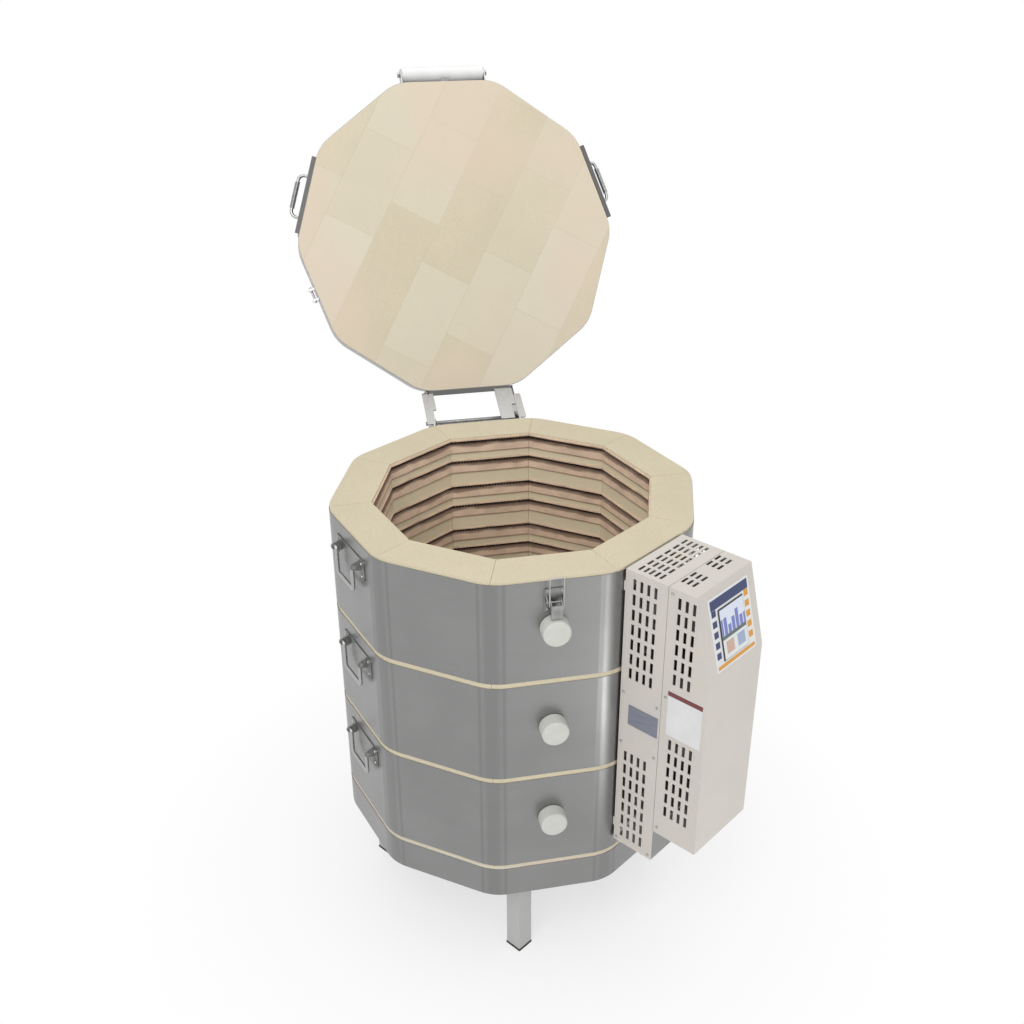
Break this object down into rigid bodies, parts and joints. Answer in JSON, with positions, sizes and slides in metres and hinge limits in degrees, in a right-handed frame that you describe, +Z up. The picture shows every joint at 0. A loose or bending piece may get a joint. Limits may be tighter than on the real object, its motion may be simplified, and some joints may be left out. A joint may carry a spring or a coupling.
{
  "type": "production kiln",
  "caption": "Ten-sided top-loading electric kiln on a leg stand, with a hinged lid held open, stacked brick sections in steel jackets, peephole plugs and a hinged control box with a screen.",
  "frame": {"origin": "the chamber's axis at floor level, midway between the four legs", "axes": "+Z up along the chamber's axis; the side with the peepholes and latch faces -Y; the lid hinge is on +Y"},
  "size_m": [0.8034, 1.4333, 1.7139],
  "materials": {
    "insulating_brick": "matte",
    "element_holder": "matte",
    "element_wire": "matte",
    "stainless_jacket": "brushed",
    "white_ceramic": "satin",
    "painted_legs": "satin",
    "rubber_pad": "matte",
    "painted_housing": "satin",
    "zinc_steel": "satin",
    "dark_steel": "satin",
    "bright_steel": "polished",
    "screen": "gloss",
    "front_film": "satin",
    "green_board": "matte",
    "dark_plastic": "matte",
    "transformer_steel": "matte",
    "brass": "satin",
    "tube_ceramic": "matte"
  },
  "bodies": {
    "kiln": {"legs": "painted_legs", "foot_pads": "rubber_pad", "stand_cross": "painted_legs", "floor_pan": "stainless_jacket", "floor_slab": "insulating_brick", "bricks_bottom": "insulating_brick", "bricks_middle": "insulating_brick", "bricks_top": "insulating_brick", "element_holders_bottom": "element_holder", "element_holders_middle": "element_holder", "element_holders_top": "element_holder", "elements_bottom": "element_wire", "elements_middle": "element_wire", "elements_top": "element_wire", "jacket_bottom": "stainless_jacket", "jacket_middle": "stainless_jacket", "jacket_top": "stainless_jacket", "element_connectors": "brass", "thermocouples": "tube_ceramic", "handle_bases": "zinc_steel", "latch_base": "zinc_steel", "hinge_body_bracket": "dark_steel", "hinge_rod": "bright_steel", "hinge_spring": "dark_steel", "terminal_box": "painted_housing", "heat_baffle": "zinc_steel", "cord_gland": "dark_plastic", "control_hinge_fixed_leaf": "bright_steel", "control_hinge_pin": "bright_steel"},
    "lid": {"lid_slab": "insulating_brick", "lid_band": "stainless_jacket", "lid_band_clamp": "stainless_jacket", "hinge_lid_angle": "dark_steel", "hinge_arms": "zinc_steel", "lid_handle_grip": "white_ceramic", "lid_handle_bracket": "zinc_steel", "lid_handle_bolt": "zinc_steel", "latch_keeper": "zinc_steel", "lid_side_handles": "zinc_steel", "lid_side_coils": "dark_steel", "lid_side_angles": "zinc_steel"},
    "control_box": {"control_box": "painted_housing", "control_overlay": "front_film", "touch_screen": "screen", "circuit_board": "green_board", "power_relays": "dark_plastic", "transformer": "transformer_steel", "power_terminal_block": "dark_plastic", "control_hinge_moving_leaf": "bright_steel"},
    "latch_lever": {"latch_lever": "zinc_steel"},
    "latch_loop": {"latch_loop": "zinc_steel"},
    "peephole_plug_bottom": {"peephole_plug_bottom": "white_ceramic"},
    "peephole_plug_middle": {"peephole_plug_middle": "white_ceramic"},
    "peephole_plug_top": {"peephole_plug_top": "white_ceramic"},
    "handle_bail_bottom_left": {"handle_bail_bottom_left": "zinc_steel"},
    "handle_bail_bottom_right": {"handle_bail_bottom_right": "zinc_steel"},
    "handle_bail_middle_left": {"handle_bail_middle_left": "zinc_steel"},
    "handle_bail_middle_right": {"handle_bail_middle_right": "zinc_steel"},
    "handle_bail_top_left": {"handle_bail_top_left": "zinc_steel"},
    "handle_bail_top_right": {"handle_bail_top_right": "zinc_steel"}
  },
  "joints": [
    {"name": "lid_hinge", "type": "hinge", "parent": "kiln", "child": "lid", "pos_m": [0, 0.46795, 0.928], "axis": [1, 0, 0], "range_deg": [0, 112.6]},
    {"name": "control_box_hinge", "type": "hinge", "parent": "kiln", "child": "control_box", "pos_m": [0.34208, -0.33421, 0.69], "axis": [0, 0, 1], "range_deg": [0, 100]},
    {"name": "latch_lever_pivot", "type": "hinge", "parent": "kiln", "child": "latch_lever", "pos_m": [0, -0.38275, 0.935], "axis": [-1, 0, 0], "range_deg": [0, 90]},
    {"name": "latch_loop_pivot", "type": "hinge", "parent": "latch_lever", "child": "latch_loop", "pos_m": [0, -0.38925, 0.93], "axis": [1, 0, 0], "range_deg": [0, 90]},
    {"name": "peephole_plug_bottom_slide", "type": "slide", "parent": "kiln", "child": "peephole_plug_bottom", "axis": [0, -1, 0], "range_m": [0, 0.12]},
    {"name": "peephole_plug_middle_slide", "type": "slide", "parent": "kiln", "child": "peephole_plug_middle", "axis": [0, -1, 0], "range_m": [0, 0.12]},
    {"name": "peephole_plug_top_slide", "type": "slide", "parent": "kiln", "child": "peephole_plug_top", "axis": [0, -1, 0], "range_m": [0, 0.12]},
    {"name": "handle_bail_bottom_left_pivot", "type": "hinge", "parent": "kiln", "child": "handle_bail_bottom_left", "pos_m": [-0.36687, -0.1192, 0.4708], "axis": [-0.309, 0.9511, 0], "range_deg": [0, 100]},
    {"name": "handle_bail_bottom_right_pivot", "type": "hinge", "parent": "kiln", "child": "handle_bail_bottom_right", "pos_m": [0.36687, 0.1192, 0.4708], "axis": [0.309, -0.9511, 0], "range_deg": [0, 100]},
    {"name": "handle_bail_middle_left_pivot", "type": "hinge", "parent": "kiln", "child": "handle_bail_middle_left", "pos_m": [-0.36687, -0.1192, 0.6994], "axis": [-0.309, 0.9511, 0], "range_deg": [0, 100]},
    {"name": "handle_bail_middle_right_pivot", "type": "hinge", "parent": "kiln", "child": "handle_bail_middle_right", "pos_m": [0.36687, 0.1192, 0.6994], "axis": [0.309, -0.9511, 0], "range_deg": [0, 100]},
    {"name": "handle_bail_top_left_pivot", "type": "hinge", "parent": "kiln", "child": "handle_bail_top_left", "pos_m": [-0.36687, -0.1192, 0.928], "axis": [-0.309, 0.9511, 0], "range_deg": [0, 100]},
    {"name": "handle_bail_top_right_pivot", "type": "hinge", "parent": "kiln", "child": "handle_bail_top_right", "pos_m": [0.36687, 0.1192, 0.928], "axis": [0.309, -0.9511, 0], "range_deg": [0, 100]}
  ],
  "couplings": [
    {"joint": "latch_loop_pivot", "follows": "latch_lever_pivot", "ratio": 1}
  ]
}
